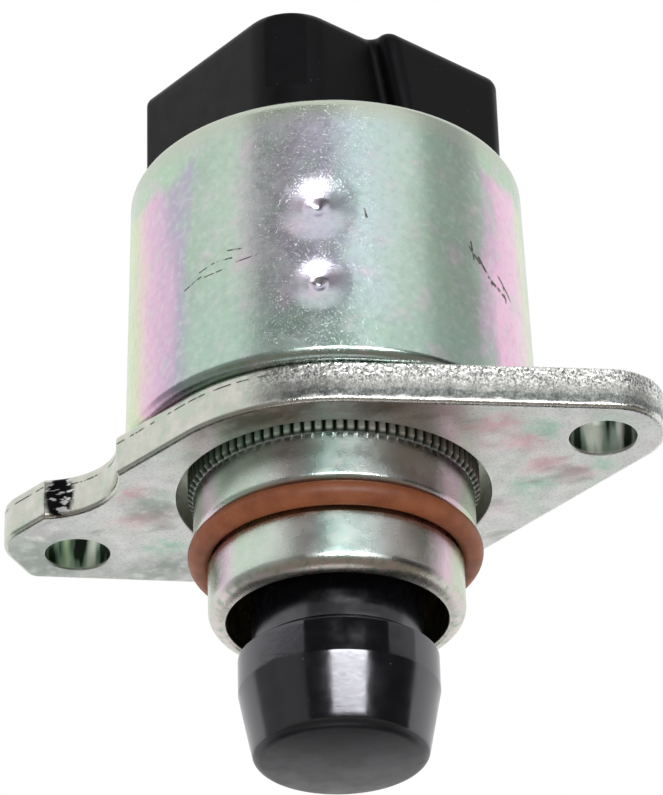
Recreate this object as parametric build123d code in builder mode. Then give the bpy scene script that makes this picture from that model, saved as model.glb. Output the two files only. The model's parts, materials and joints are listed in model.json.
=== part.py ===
from build123d import *
import os
from math import acos, asin, atan2, cos, degrees, hypot, radians, sin, sqrt, tan

# Idle air control valve: a stepper motor in a plated can screws a pintle in and out of an air passage.
# Millimetres. The origin is the centre of the flange's mounting face and the two screws lie on X.
# +Z points to the connector and the pintle points to -Z.

# Fits
seat_clearance = 0.02
running_clearance = 0.06
end_clearance = 0.3

# Mounting flange
flange_thickness = 3.5
flange_radius = 15.7
flange_edge_radius = 0.35
bolt_spacing = 45.3
bolt_hole_radius = 2.65
ear_radius = 4.9
key_ear_reach = 5.3
key_corner_radius = 1.2
key_corner_rise = 1.3
key_end_radius = 4.0
key_end_drop = 1.8
notch_radius = 6.3
notch_offset = 20.0
notch_drop = 12.85
notch_corner_radius = 0.4
collar_gap = 1.35
collar_pocket_depth = 1.9

# Drawn motor can
can_radius = 16.6
can_draft = 1.1
can_wall = 0.8
can_floor = 0.8
can_foot_radius = 0.8
rim_radius = 0.9
lip_thickness = 1.1
lip_overhang = 0.3
lip_edge_radius = 0.15

# Staking dimples in the can, given as heights above the flange
dimple_angle = -70.3
upper_dimple_height = 13.7
upper_dish_radius = 12.0
upper_dish_depth = 0.5
lower_dimple_height = 6.55
lower_dish_radius = 9.0
lower_dish_depth = 0.38
pit_radius = 1.2
pit_depth = 0.32

# Stepped neck that plugs into the throttle body
neck_radius = 11.2
neck_wall = 1.2
neck_length = 11.2
shoulder_depth = 4.3
shoulder_radius = 0.55
neck_step = 1.1
groove_depth = 0.35
groove_width = 2.0
mouth_wall = 1.4
lip_outer_radius = 1.2
mouth_edge_radius = 0.25
neck_bore_floor = 1.3
knurl_count = 86
knurl_height = 0.42
knurl_proud = 0.1
knurl_fill = 0.62
o_ring_section = 1.9

# Front bearing
bearing_radius = 8.0
bearing_bore_radius = 3.8
bearing_width = 3.0
ball_count = 9
ball_radius = 0.85
race_gap = 1.3
cage_width = 0.7
cage_height = 2.3
guide_floor = 1.8

# Stator
plate_thickness = 0.9
coil_height = 7.2
claw_count = 6
claw_thickness = 0.7
claw_base_width = 2.6
claw_tip_width = 1.6
claw_tip_gap = 1.2
bobbin_wall = 0.8
bobbin_clearance = 0.3
winding_margin = 0.6

# Rotor and screw
rotor_radius = 6.5
air_gap = 0.35
magnet_end_gap = 1.2
hub_radius = 4.6
hub_bore_clearance = 0.4
journal_radius = 3.0
nut_length = 9.0
nut_wall = 1.3
screw_radius = 2.0
screw_flat = 1.55
rear_bush_radius = 4.6
rear_bush_height = 2.4
washer_thickness = 0.5

# Pintle and its spring, drawn at the middle of the stroke
retract_travel = 6.0
extend_travel = 3.0
stroke_room = 1.0
skirt_radius = 6.75
skirt_length = 6.2
shoulder_height = 0.7
band_radius = 7.85
band_height = 2.8
taper_height = 5.6
tip_radius = 6.75
tip_edge_radius = 0.9
dome_height = 0.6
spring_pocket_radius = 5.3
spring_pocket_depth = 6.5
screw_seat_length = 6.0
spring_wire_radius = 0.4
spring_turns = 6.5
spring_side_room = 0.5

# Connector cap
cap_disc_thickness = 4.2
connector_angle = 62.5
shroud_left = 10.7
shroud_right = 11.75
shroud_back = 11.6
shroud_front = 9.9
shroud_rim_gap = 0.1
shroud_top_radius = 1.2
shroud_left_radius = 1.3
shroud_corner_radius = 4.4
shroud_right_radius = 1.6
shroud_back_radius = 3.0
ledge_start = 1.3
ledge_lean = 2.8
ledge_depth = 2.0
ledge_inner_share = 0.25
ledge_outer_share = 0.65
corner_pad_height = 5.8
corner_facet_depth = 0.35
socket_width = 17.0
socket_length = 10.0
socket_depth = 10.0
socket_corner_radius = 1.5
socket_floor_wall = 2.1
rib_width = 1.2
rib_height = 0.8
rib_spacing = 8.0
terminal_count = 4
terminal_pitch = 3.4
terminal_width = 1.5
terminal_thickness = 0.64
terminal_reach = 6.0
terminal_root = 1.2

# Levels and radii that follow from the sizes above
can_seat = flange_thickness + can_floor
stack_top = can_seat + 2 * (2 * plate_thickness + coil_height)
disc_top = stack_top + cap_disc_thickness
can_top = disc_top + lip_thickness
can_slope = tan(radians(can_draft))
can_top_radius = can_radius - (can_top - flange_thickness) * can_slope
can_bore = can_top_radius - can_wall
lip_bore = can_bore - lip_overhang
neck_bore = neck_radius - neck_wall
land_radius = neck_radius - neck_step
groove_radius = land_radius - groove_depth
mouth_radius = land_radius - mouth_wall
bolt_offset = bolt_spacing / 2
bearing_bottom = can_seat - bearing_width
guide_bottom = bearing_bottom - guide_floor
ball_pitch_radius = (bearing_radius + bearing_bore_radius) / 2
bearing_middle = can_seat - bearing_width / 2
claw_bore = rotor_radius + air_gap
bobbin_bore = claw_bore + claw_thickness + bobbin_clearance
nut_radius = screw_radius + running_clearance + nut_wall
nut_bottom = (can_seat + stack_top - nut_length) / 2
nut_top = nut_bottom + nut_length
screw_top = nut_top + extend_travel
screw_recess_top = screw_top + retract_travel + stroke_room
socket_floor = screw_recess_top + socket_floor_wall
shroud_top = socket_floor + socket_depth
skirt_top = guide_bottom - retract_travel - stroke_room
band_top = skirt_top - skirt_length - shoulder_height
band_bottom = band_top - band_height
taper_bottom = band_bottom - taper_height
pocket_floor = skirt_top - spring_pocket_depth
screw_bottom = pocket_floor - screw_seat_length
socket_centre = ((shroud_right - shroud_left) / 2, (shroud_back - shroud_front + ledge_depth) / 2)

os.makedirs("parts", exist_ok=True)


def save(piece, name):
    piece.part.label = name
    export_step(piece.part, f"parts/{name}.step")


def sleeve(outer, inner, bottom, top):
    with BuildPart() as piece:
        with BuildSketch(Plane.XY.offset(bottom)):
            Circle(outer)
            Circle(inner, mode=Mode.SUBTRACT)
        extrude(amount=top - bottom)
    return piece


# Mounting flange: a rounded lozenge whose left ear is squared off behind a notch
key_end_x = key_end_radius - bolt_offset - key_ear_reach
edge_normal = atan2(-key_end_drop, key_end_x) + acos(
    (flange_radius - key_end_radius) / hypot(key_end_x, key_end_drop)
)
edge_out = Vector(cos(edge_normal), sin(edge_normal))
notch_centre = Vector(-notch_offset, -notch_drop)
notch_stand_off = notch_centre.dot(edge_out) - flange_radius
notch_middle = notch_centre - edge_out * notch_stand_off
notch_half = edge_out.rotate(Axis.Z, 90) * sqrt(notch_radius**2 - notch_stand_off**2)
with BuildPart() as mounting_flange:
    with BuildSketch() as flange_outline:
        Circle(flange_radius)
        with Locations((bolt_offset, 0)):
            Circle(ear_radius)
        with Locations((key_end_x, -key_end_drop)):
            Circle(key_end_radius)
        with Locations((key_corner_radius - bolt_offset - key_ear_reach, key_corner_rise)):
            Circle(key_corner_radius)
        make_hull()
        with Locations(notch_centre):
            Circle(notch_radius, mode=Mode.SUBTRACT)
        for corner in (notch_middle - notch_half, notch_middle + notch_half):
            fillet(flange_outline.vertices().sort_by_distance(corner)[0], notch_corner_radius)
    extrude(amount=flange_thickness)
    outer_faces = mounting_flange.faces().filter_by(Axis.Z)
    fillet([face.outer_wire().edges() for face in outer_faces], flange_edge_radius)
    with Locations((bolt_offset, 0, flange_thickness), (-bolt_offset, 0, flange_thickness)):
        Hole(bolt_hole_radius)
    with Locations(Plane(origin=(0, 0, 0), z_dir=(0, 0, -1))):
        CounterBoreHole(neck_radius + seat_clearance, neck_radius + collar_gap, collar_pocket_depth)
save(mounting_flange, "mounting_flange")


# Motor can: a drawn cup, open at the connector end, with its rim turned in over the cap
def stake(height, dish_radius, dish_depth):
    surface = can_radius - height * can_slope
    level = flange_thickness + height
    for ball, reach in ((dish_radius, surface - dish_depth), (pit_radius, surface - dish_depth - pit_depth)):
        away = reach + ball
        with Locations((away * cos(radians(dimple_angle)), away * sin(radians(dimple_angle)), level)):
            Sphere(ball, mode=Mode.SUBTRACT)


with BuildPart() as motor_can:
    with BuildSketch(Plane.XZ):
        with BuildLine():
            FilletPolyline(
                (neck_radius + seat_clearance, flange_thickness),
                (can_radius, flange_thickness),
                (can_top_radius, can_top),
                (lip_bore, can_top),
                (lip_bore, disc_top),
                (can_bore, disc_top),
                (can_bore, can_seat),
                (neck_radius + seat_clearance, can_seat),
                radius=[0, can_foot_radius, rim_radius, lip_edge_radius, 0, 0, 0, 0],
                close=True,
            )
        make_face()
    revolve(axis=Axis.Z)
    stake(upper_dimple_height, upper_dish_radius, upper_dish_depth)
    stake(lower_dimple_height, lower_dish_radius, lower_dish_depth)
save(motor_can, "motor_can")

# Neck: a stepped sleeve pressed through flange and can floor, with a knurled collar and an O-ring groove
with BuildPart() as neck_housing:
    with BuildSketch(Plane.XZ):
        with BuildLine():
            FilletPolyline(
                (neck_bore, can_seat),
                (neck_radius, can_seat),
                (neck_radius, -shoulder_depth),
                (groove_radius, -shoulder_depth),
                (groove_radius, -shoulder_depth - groove_width),
                (land_radius, -shoulder_depth - groove_width),
                (land_radius, -neck_length),
                (mouth_radius, -neck_length),
                (mouth_radius, guide_bottom - neck_bore_floor),
                (neck_bore, guide_bottom - neck_bore_floor),
                radius=[0, 0, shoulder_radius, 0, 0, mouth_edge_radius, lip_outer_radius,
                        mouth_edge_radius, 0, 0],
                close=True,
            )
        make_face()
    revolve(axis=Axis.Z)
    tooth_half_angle = 180 / knurl_count * knurl_fill
    with BuildSketch(Plane.XY.offset(-knurl_proud)):
        Circle(neck_radius)
        with PolarLocations(0, knurl_count):
            Polygon(
                (neck_radius * cos(radians(tooth_half_angle)) - knurl_height,
                 neck_radius * sin(radians(tooth_half_angle))),
                (neck_radius * cos(radians(tooth_half_angle)) - knurl_height,
                 -neck_radius * sin(radians(tooth_half_angle))),
                (neck_radius + knurl_height, 0),
                align=None,
            )
        Circle(neck_bore, mode=Mode.SUBTRACT)
    extrude(amount=collar_pocket_depth + knurl_proud)
save(neck_housing, "neck_housing")

with BuildPart() as o_ring:
    with Locations((0, 0, -shoulder_depth - groove_width / 2)):
        Torus(groove_radius + seat_clearance + o_ring_section / 2, o_ring_section / 2)
save(o_ring, "o_ring")


# Guide bush: carries the front bearing and keeps the flatted screw from turning
def flatted_rod_outline(clearance):
    Circle(screw_radius + clearance)
    Rectangle(2 * (screw_flat + clearance), 4 * screw_radius, mode=Mode.INTERSECT)


with BuildPart() as guide_bush:
    with BuildSketch(Plane.XY.offset(guide_bottom)):
        Circle(neck_bore - seat_clearance)
    extrude(amount=can_seat - guide_bottom)
    with BuildSketch(Plane.XY.offset(bearing_bottom)):
        Circle(bearing_radius + seat_clearance)
    extrude(amount=bearing_width, mode=Mode.SUBTRACT)
    with BuildSketch(Plane.XY.offset(bearing_bottom)):
        Circle(ball_pitch_radius)
    extrude(amount=-end_clearance, mode=Mode.SUBTRACT)
    with BuildSketch(Plane.XY.offset(guide_bottom)) as guide_slot:
        flatted_rod_outline(running_clearance)
    extrude(amount=guide_floor, mode=Mode.SUBTRACT)
save(guide_bush, "guide_bush")


# Front ball bearing
def race(inner, outer):
    with BuildPart() as piece:
        with BuildSketch(Plane.XZ):
            with Locations(((inner + outer) / 2, bearing_middle)):
                Rectangle(outer - inner, bearing_width)
            with Locations((ball_pitch_radius, bearing_middle)):
                Circle(ball_radius + running_clearance, mode=Mode.SUBTRACT)
        revolve(axis=Axis.Z)
    return piece


save(race(ball_pitch_radius + race_gap / 2, bearing_radius), "bearing_outer_race")
save(race(bearing_bore_radius, ball_pitch_radius - race_gap / 2), "bearing_inner_race")

with BuildPart() as bearing_balls:
    with Locations((0, 0, bearing_middle)):
        with PolarLocations(ball_pitch_radius, ball_count):
            Sphere(ball_radius)
save(bearing_balls, "bearing_balls")

with BuildPart() as ball_cage:
    with BuildSketch(Plane.XY.offset(bearing_middle - cage_height / 2)):
        Circle(ball_pitch_radius + cage_width / 2)
        Circle(ball_pitch_radius - cage_width / 2, mode=Mode.SUBTRACT)
    extrude(amount=cage_height)
    with Locations((0, 0, bearing_middle)):
        with PolarLocations(ball_pitch_radius, ball_count):
            Cylinder(ball_radius + running_clearance, 2 * cage_width, rotation=(0, 90, 0),
                     mode=Mode.SUBTRACT)
save(ball_cage, "ball_cage")


# Stator: two coils, each between a pair of plates whose claws interleave round the rotor
def claw(level, direction):
    with BuildPart() as piece:
        with BuildSketch(Plane(origin=(claw_bore, 0, level), x_dir=(0, 1, 0), z_dir=(1, 0, 0))):
            Polygon(
                (-claw_base_width / 2, 0),
                (claw_base_width / 2, 0),
                (claw_tip_width / 2, direction * (plate_thickness + coil_height - claw_tip_gap)),
                (-claw_tip_width / 2, direction * (plate_thickness + coil_height - claw_tip_gap)),
                align=None,
            )
        extrude(amount=claw_thickness)
    return piece


def pole_plate(bottom, direction, turn):
    far_face = bottom if direction > 0 else bottom + plate_thickness
    finger = claw(far_face, direction)
    with BuildPart() as piece:
        with BuildSketch(Plane.XY.offset(bottom)):
            Circle(can_bore - seat_clearance)
            Circle(claw_bore, mode=Mode.SUBTRACT)
        extrude(amount=plate_thickness)
        with PolarLocations(0, claw_count, start_angle=turn):
            add(finger.part)
    return piece


def bobbin(bottom):
    with BuildPart() as piece:
        with BuildSketch(Plane.XZ):
            with Locations((bobbin_bore, bottom)):
                Rectangle(can_bore - bobbin_clearance - bobbin_bore, coil_height, align=Align.MIN)
            with Locations((bobbin_bore + bobbin_wall, bottom + bobbin_wall)):
                Rectangle(can_bore, coil_height - 2 * bobbin_wall, align=Align.MIN, mode=Mode.SUBTRACT)
        revolve(axis=Axis.Z)
    return piece


claw_step = 180 / claw_count
for index, position in enumerate(("front", "rear")):
    lower_plate = can_seat + index * (2 * plate_thickness + coil_height)
    coil_bottom = lower_plate + plate_thickness
    coil_top = coil_bottom + coil_height
    phase_turn = index * claw_step / 2
    save(pole_plate(lower_plate, 1, phase_turn), f"{position}_lower_pole_plate")
    save(pole_plate(coil_top, -1, phase_turn + claw_step), f"{position}_upper_pole_plate")
    save(bobbin(coil_bottom), f"{position}_bobbin")
    winding = sleeve(
        can_bore - bobbin_clearance - winding_margin,
        bobbin_bore + bobbin_wall + seat_clearance,
        coil_bottom + bobbin_wall + seat_clearance,
        coil_top - bobbin_wall - seat_clearance,
    )
    save(winding, f"{position}_winding")

# Rotor: a ring magnet on a moulded hub that holds the threaded nut
hub_shoulder = stack_top - washer_thickness - seat_clearance - end_clearance
journal_top = stack_top + rear_bush_height - end_clearance
hub_bore = screw_radius + hub_bore_clearance
with BuildPart() as rotor_hub:
    with BuildSketch(Plane.XZ):
        with BuildLine():
            Polyline(
                (hub_bore, bearing_bottom + end_clearance),
                (bearing_bore_radius - seat_clearance, bearing_bottom + end_clearance),
                (bearing_bore_radius - seat_clearance, can_seat),
                (hub_radius, can_seat),
                (hub_radius, hub_shoulder),
                (journal_radius, hub_shoulder),
                (journal_radius, journal_top),
                (hub_bore, journal_top),
                (hub_bore, nut_top + seat_clearance),
                (nut_radius + seat_clearance, nut_top + seat_clearance),
                (nut_radius + seat_clearance, nut_bottom - seat_clearance),
                (hub_bore, nut_bottom - seat_clearance),
                close=True,
            )
        make_face()
    revolve(axis=Axis.Z)
save(rotor_hub, "rotor_hub")
rotor_magnet = sleeve(
    rotor_radius, hub_radius + seat_clearance, can_seat + magnet_end_gap, stack_top - magnet_end_gap
)
save(rotor_magnet, "rotor_magnet")
save(sleeve(nut_radius, screw_radius + running_clearance, nut_bottom, nut_top), "drive_nut")
rear_bush = sleeve(
    rear_bush_radius, journal_radius + running_clearance, stack_top, stack_top + rear_bush_height
)
save(rear_bush, "rear_bush")
thrust_washer = sleeve(
    rear_bush_radius,
    journal_radius + running_clearance,
    stack_top - seat_clearance - washer_thickness,
    stack_top - seat_clearance,
)
save(thrust_washer, "thrust_washer")

# Lead screw: a flatted rod, threaded inside the nut and pressed into the pintle
with BuildPart() as lead_screw:
    with BuildSketch(Plane.XY.offset(screw_bottom)) as screw_outline:
        flatted_rod_outline(0)
    extrude(amount=screw_top - screw_bottom)
save(lead_screw, "lead_screw")

# Pintle: a hollow skirt, a seating band and a taper that ends in a low dome
dome_radius = (tip_radius**2 + dome_height**2) / (2 * dome_height)
dome_centre = taper_bottom - dome_height + dome_radius
with BuildPart() as pintle:
    with BuildSketch(Plane.XZ) as pintle_profile:
        with BuildLine():
            Polyline(
                (0, taper_bottom - dome_height),
                (0, screw_bottom),
                (screw_radius + seat_clearance, screw_bottom),
                (screw_radius + seat_clearance, pocket_floor),
                (spring_pocket_radius, pocket_floor),
                (spring_pocket_radius, skirt_top),
                (skirt_radius, skirt_top),
                (skirt_radius, band_top + shoulder_height),
                (band_radius, band_top),
                (band_radius, band_bottom),
                (tip_radius, taper_bottom),
            )
            CenterArc((0, dome_centre), dome_radius, -90, degrees(asin(tip_radius / dome_radius)))
        make_face()
        fillet(pintle_profile.vertices().sort_by_distance((tip_radius, taper_bottom))[0], tip_edge_radius)
    revolve(axis=Axis.Z)
save(pintle, "pintle")

spring_length = guide_bottom - pocket_floor - 2 * (spring_wire_radius + seat_clearance)
spring_radius = spring_pocket_radius - spring_side_room - spring_wire_radius
with BuildPart() as pintle_spring:
    with BuildLine() as coil_path:
        Helix(
            spring_length / spring_turns,
            spring_length,
            spring_radius,
            center=(0, 0, pocket_floor + spring_wire_radius + seat_clearance),
        )
    with BuildSketch(Plane(origin=coil_path.line @ 0, z_dir=coil_path.line % 0)):
        Circle(spring_wire_radius)
    sweep(is_frenet=True)
save(pintle_spring, "pintle_spring")

# Connector cap: a disc held under the can's rim and a shroud round the socket
ledge_wall = shroud_front - ledge_depth
corner_centre = (shroud_corner_radius - shroud_left, shroud_corner_radius - ledge_wall)
facet_bottom = disc_top + corner_pad_height
connector_plane = Plane.XY.rotated((0, 0, connector_angle))
ledge_plane = Plane(connector_plane.origin, connector_plane.x_dir, -connector_plane.y_dir)
ledge_foot = ledge_lean - ledge_start
with BuildPart() as connector_cap:
    with BuildSketch(connector_plane.offset(disc_top)) as shroud_outline:
        with BuildLine():
            FilletPolyline(
                (-shroud_left, shroud_back),
                (-shroud_left, -ledge_wall),
                (-ledge_start, -ledge_wall),
                (-ledge_start, -shroud_front),
                (shroud_right, -shroud_front),
                (shroud_right, shroud_back),
                radius=[shroud_left_radius, shroud_corner_radius, 0, 0,
                        shroud_right_radius, shroud_back_radius],
                close=True,
            )
        make_face()
    extrude(amount=shroud_top - disc_top)
    with BuildSketch(ledge_plane.offset(ledge_wall)):
        Polygon((-ledge_start, shroud_top), (-ledge_start, disc_top), (ledge_foot, disc_top), align=None)
    extrude(amount=ledge_depth, mode=Mode.SUBTRACT)
    ledge_middle = ((ledge_foot - ledge_start) / 2, (disc_top + shroud_top) / 2)
    for depth, share in ((ledge_wall, ledge_inner_share), (shroud_front, ledge_outer_share)):
        leaning_edge = ledge_plane.offset(depth).from_local_coords((*ledge_middle, 0))
        fillet(connector_cap.edges().sort_by_distance(leaning_edge)[0], share * ledge_depth)
    fillet(connector_cap.faces().sort_by(Axis.Z)[-1].edges(), shroud_top_radius)
    with BuildSketch(Plane.XY.offset(disc_top)):
        Circle(lip_bore - shroud_rim_gap)
    extrude(amount=shroud_top - disc_top, mode=Mode.INTERSECT)
    with BuildSketch(connector_plane.offset(facet_bottom)):
        with Locations(Location((corner_centre[0], corner_centre[1], 0), (0, 0, -135))):
            with Locations((shroud_corner_radius - corner_facet_depth, 0)):
                Rectangle(shroud_corner_radius, 2 * shroud_corner_radius, align=(Align.MIN, Align.CENTER))
    extrude(amount=shroud_top - facet_bottom, mode=Mode.SUBTRACT)
    with BuildSketch(Plane.XY.offset(stack_top)):
        Circle(can_bore - seat_clearance)
    extrude(amount=cap_disc_thickness)
    with BuildSketch(connector_plane.offset(socket_floor)):
        with Locations(socket_centre):
            RectangleRounded(socket_width, socket_length, socket_corner_radius)
            with Locations((-rib_spacing / 2, socket_length / 2), (rib_spacing / 2, socket_length / 2)):
                Rectangle(rib_width, 2 * rib_height, mode=Mode.SUBTRACT)
    extrude(amount=socket_depth, mode=Mode.SUBTRACT)
    with BuildSketch(connector_plane.offset(socket_floor)):
        with Locations(socket_centre):
            with GridLocations(terminal_pitch, 0, terminal_count, 1):
                Rectangle(terminal_width + 2 * seat_clearance, terminal_thickness + 2 * seat_clearance)
    extrude(amount=-terminal_root, mode=Mode.SUBTRACT)
    with BuildSketch(Plane.XY.offset(stack_top)):
        Circle(rear_bush_radius + seat_clearance)
    extrude(amount=rear_bush_height, mode=Mode.SUBTRACT)
    with BuildSketch(Plane.XY.offset(stack_top)):
        Circle(hub_bore)
    extrude(amount=screw_recess_top - stack_top, mode=Mode.SUBTRACT)
save(connector_cap, "connector_cap")

# Blade terminals, in a row across the socket
for index in range(terminal_count):
    offset_along_row = (index - (terminal_count - 1) / 2) * terminal_pitch
    with BuildPart() as terminal:
        with BuildSketch(connector_plane.offset(socket_floor - terminal_root)):
            with Locations((socket_centre[0] + offset_along_row, socket_centre[1])):
                Rectangle(terminal_width, terminal_thickness)
        extrude(amount=terminal_root + terminal_reach)
        chamfer(terminal.edges().group_by(Axis.Z)[-1], terminal_thickness / 4)
    save(terminal, f"terminal_{index + 1}")
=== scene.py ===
import json
import math

import bmesh
import bpy
import numpy as np
from mathutils import Matrix, Vector, noise
from mathutils.geometry import delaunay_2d_cdt


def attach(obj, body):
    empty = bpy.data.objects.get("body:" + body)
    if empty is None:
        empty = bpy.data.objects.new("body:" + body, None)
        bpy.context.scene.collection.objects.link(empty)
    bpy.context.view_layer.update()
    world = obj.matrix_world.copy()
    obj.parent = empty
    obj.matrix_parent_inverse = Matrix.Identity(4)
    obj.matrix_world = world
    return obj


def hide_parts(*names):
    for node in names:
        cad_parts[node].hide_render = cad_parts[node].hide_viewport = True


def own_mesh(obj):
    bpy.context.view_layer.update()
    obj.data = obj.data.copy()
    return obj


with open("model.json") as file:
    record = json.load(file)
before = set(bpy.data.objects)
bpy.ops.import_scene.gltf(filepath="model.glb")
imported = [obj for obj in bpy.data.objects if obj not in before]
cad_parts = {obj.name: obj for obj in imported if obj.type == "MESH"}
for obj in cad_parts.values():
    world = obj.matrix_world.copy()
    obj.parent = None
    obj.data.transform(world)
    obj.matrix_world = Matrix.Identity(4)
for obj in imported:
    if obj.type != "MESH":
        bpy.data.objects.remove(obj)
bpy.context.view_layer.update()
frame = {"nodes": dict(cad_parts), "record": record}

# Idle air control valve, drawn in millimetres and brought to metres by MM
MM = 0.001
TAU = 2 * math.pi

# Photograph: camera about the flange's centre, angles in degrees
PHOTO_SIZE = (663, 795)
FOCAL_PIXELS = 3774.5
ORIGIN_PIXEL = (334.0, 497.85)
CAMERA_DISTANCE = 300.0
CAMERA_TURN = 22.0
CAMERA_RISE = -29.85
CAMERA_ROLL = 1.65
CAMERA_CLIP = (0.01, 20.0)
SENSOR = 36.0

# Flange
flange_thickness = 3.5
flange_radius = 15.7
flange_edge_radius = 0.35
bolt_offset = 22.65
bolt_hole_radius = 2.65
hole_edge_radius = 0.12
flat_margin = 0.04
ear_radius = 4.9
key_ear_reach = 5.3
key_corner_radius = 1.2
key_corner_rise = 1.3
key_end_radius = 4.0
key_end_drop = 1.8
notch_radius = 6.3
notch_offset = 20.0
notch_drop = 12.85
notch_corner_radius = 0.4
notch_ease = 0.2
collar_bore = 12.55
collar_break = 0.036
collar_pocket_depth = 1.9

# Torn relief of the flange's punched wall, which grows upwards and to the right
shear_depth = 0.05
shear_start = 1.9
shear_ramp = 0.4
shear_left = -1.0
shear_spread = 4.0

# Can
can_radius = 16.6
can_draft = 1.1
can_wall = 0.8
can_floor = 0.8
can_foot_radius = 0.8
rim_radius = 0.9
lip_thickness = 1.1
lip_overhang = 0.3
lip_edge_radius = 0.15
can_height = 24.1
dimple_angle = -70.3
pit_depth = 0.3

# Dimples of the can as (height above its foot, dish width, dish depth, pit width)
DIMPLES = ((13.7, 3.6, 0.5, 1.2), (6.55, 2.8, 0.38, 0.85))

# Neck and O-ring
seat_clearance = 0.02
neck_radius = 11.2
neck_bore = 10.0
neck_length = 11.2
shoulder_depth = 4.3
shoulder_radius = 0.55
land_radius = 10.1
groove_radius = 9.75
groove_width = 2.0
mouth_radius = 8.7
lip_outer_radius = 1.2
mouth_edge_radius = 0.25
neck_ledge = -1.8
knurl_count = 86
knurl_steps = 8
knurl_height = 0.42
knurl_start = -0.3
knurl_full = 0.05
knurl_fill = 0.62
o_ring_section = 1.9

# Pintle and spring
skirt_top = -7.5
skirt_radius = 6.75
skirt_bottom = -13.7
skirt_top_radius = 0.15
skirt_foot_radius = 0.1
band_top = -14.4
band_radius = 7.85
band_bottom = -17.2
band_edge_radius = 0.12
band_lean = 0.14
tip_radius = 6.75
taper_bottom = -22.8
tip_edge_radius = 0.9
dome_height = 0.6
dome_edge = -22.5
dome_share = 0.8
spring_pocket_radius = 5.3
spring_pocket_floor = -14.0
pocket_edge_radius = 0.1
screw_seat_radius = 2.02
screw_seat_bottom = -20.0
spring_wire_radius = 0.4
spring_coil_radius = 4.4
spring_turns = 6.5
spring_turn_steps = 36
spring_bottom = -13.58
spring_top = -0.92

# Cap
disc_bottom = 22.3
disc_top = 26.5
disc_edge_radius = 0.1
shroud_top = 39.9
connector_angle = 62.5
shroud_left = 10.7
shroud_right = 11.75
shroud_back = 11.6
shroud_front = 9.9
shroud_rim_gap = 0.1
shroud_top_radius = 1.2
shroud_left_radius = 1.3
shroud_corner_radius = 4.4
shroud_right_radius = 1.6
shroud_back_radius = 3.0
ledge_start = 1.3
ledge_lean = 2.8
ledge_depth = 2.0
ledge_inner_radius = 0.5
ledge_outer_radius = 1.3
facet_rise = 5.8
facet_depth = 0.35
socket_width = 17.0
socket_length = 10.0
socket_floor = 29.9
socket_corner_radius = 1.5
socket_edge_radius = 0.2
rib_width = 1.2
rib_height = 0.8
rib_spacing = 8.0
rib_foot_radius = 0.15
rib_edge_radius = 0.2
bush_recess_radius = 4.62
bush_recess_top = 24.7
screw_recess_radius = 2.4
screw_recess_top = 27.8

# Levels and radii that follow from the sizes above
can_bottom = flange_thickness
can_seat = can_bottom + can_floor
can_top = can_bottom + can_height
can_top_radius = can_radius - can_height * math.tan(math.radians(can_draft))
can_bore = can_top_radius - can_wall
lip_bore = can_bore - lip_overhang
neck_seat = neck_radius + seat_clearance
groove_top = -shoulder_depth
groove_bottom = groove_top - groove_width
shroud_rim_radius = lip_bore - shroud_rim_gap

# Mesh of the can: half the sector of its dimples, in radians, and the thinning of its inner wall
dimple_sector = 0.24
inner_margin = 0.1
inner_thinning = 8

# Limits for meshing: fewest steps and widest turn in an arc, and how flat faces are filled
ARC_STEPS = 4
ARC_TURN = math.radians(9)
FILL_INSIDE = 1
FILL_TOLERANCE = 1e-6


def unit(vector):
    return vector / np.linalg.norm(vector)


# Rounded outlines: points with outward normals along a closed path that runs counterclockwise
def rounded_path(corners, radii, step):
    corners = [np.array(corner, float) for corner in corners]
    joints = []
    for i, corner in enumerate(corners):
        back = unit(corners[i - 1] - corner)
        ahead = unit(corners[(i + 1) % len(corners)] - corner)
        half = math.acos(np.clip(back @ ahead, -1, 1)) / 2
        reach = radii[i] / math.tan(half)
        centre = corner + unit(back + ahead) * radii[i] / math.sin(half)
        turn = np.sign(back[1] * ahead[0] - back[0] * ahead[1])
        joints.append((corner + back * reach, corner + ahead * reach, centre, turn))
    points, normals = [], []
    for i, (start, end, centre, turn) in enumerate(joints):
        if radii[i] > 0:
            first = math.atan2(*(start - centre)[::-1])
            sweep = math.atan2(*(end - centre)[::-1]) - first
            sweep = (sweep + math.pi) % TAU - math.pi
            length = abs(sweep) * radii[i]
            count = max(ARC_STEPS, math.ceil(length / step), math.ceil(abs(sweep) / ARC_TURN))
            for angle in first + sweep * np.linspace(0, 1, count + 1):
                direction = np.array((math.cos(angle), math.sin(angle)))
                points.append(centre + direction * radii[i])
                normals.append(direction * turn)
        else:
            side = joints[i - 1][1] - start
            points.append(start)
            normals.append(unit(np.array((-side[1], side[0]))))
        run = joints[(i + 1) % len(joints)][0] - end
        count = math.ceil(np.linalg.norm(run) / step)
        for share in np.arange(1, count) / max(count, 1):
            points.append(end + run * share)
            normals.append(unit(np.array((run[1], -run[0]))))
    return np.array(points), np.array(normals)


def tangent_line(first, second):
    """Normal and offset of the outer tangent that runs from one circle (x, y, radius) to the next."""
    run = np.subtract(second[:2], first[:2])
    angle = math.atan2(run[1], run[0]) - math.acos((first[2] - second[2]) / np.linalg.norm(run))
    normal = np.array((math.cos(angle), math.sin(angle)))
    return normal, normal @ first[:2] + first[2]


def crossing(one, other):
    return np.linalg.solve(np.array((one[0], other[0])), np.array((one[1], other[1])))


def around(count):
    return np.linspace(0, TAU, count, endpoint=False)


def at_height(points, height):
    return np.column_stack((points, np.full(len(points), height)))


def circle(radius, height, count, centre=0.0):
    """A ring about an upright axis at that place on X."""
    angles = around(count)
    return at_height(np.stack((centre + radius * np.cos(angles), radius * np.sin(angles)), axis=1), height)


def quarter(radius, count):
    """Insets and heights along a quarter round, from its flat start to its upright end."""
    angles = np.linspace(0, math.pi / 2, count)
    return [(radius * (1 - math.sin(angle)), radius * (1 - math.cos(angle))) for angle in angles]


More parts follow.
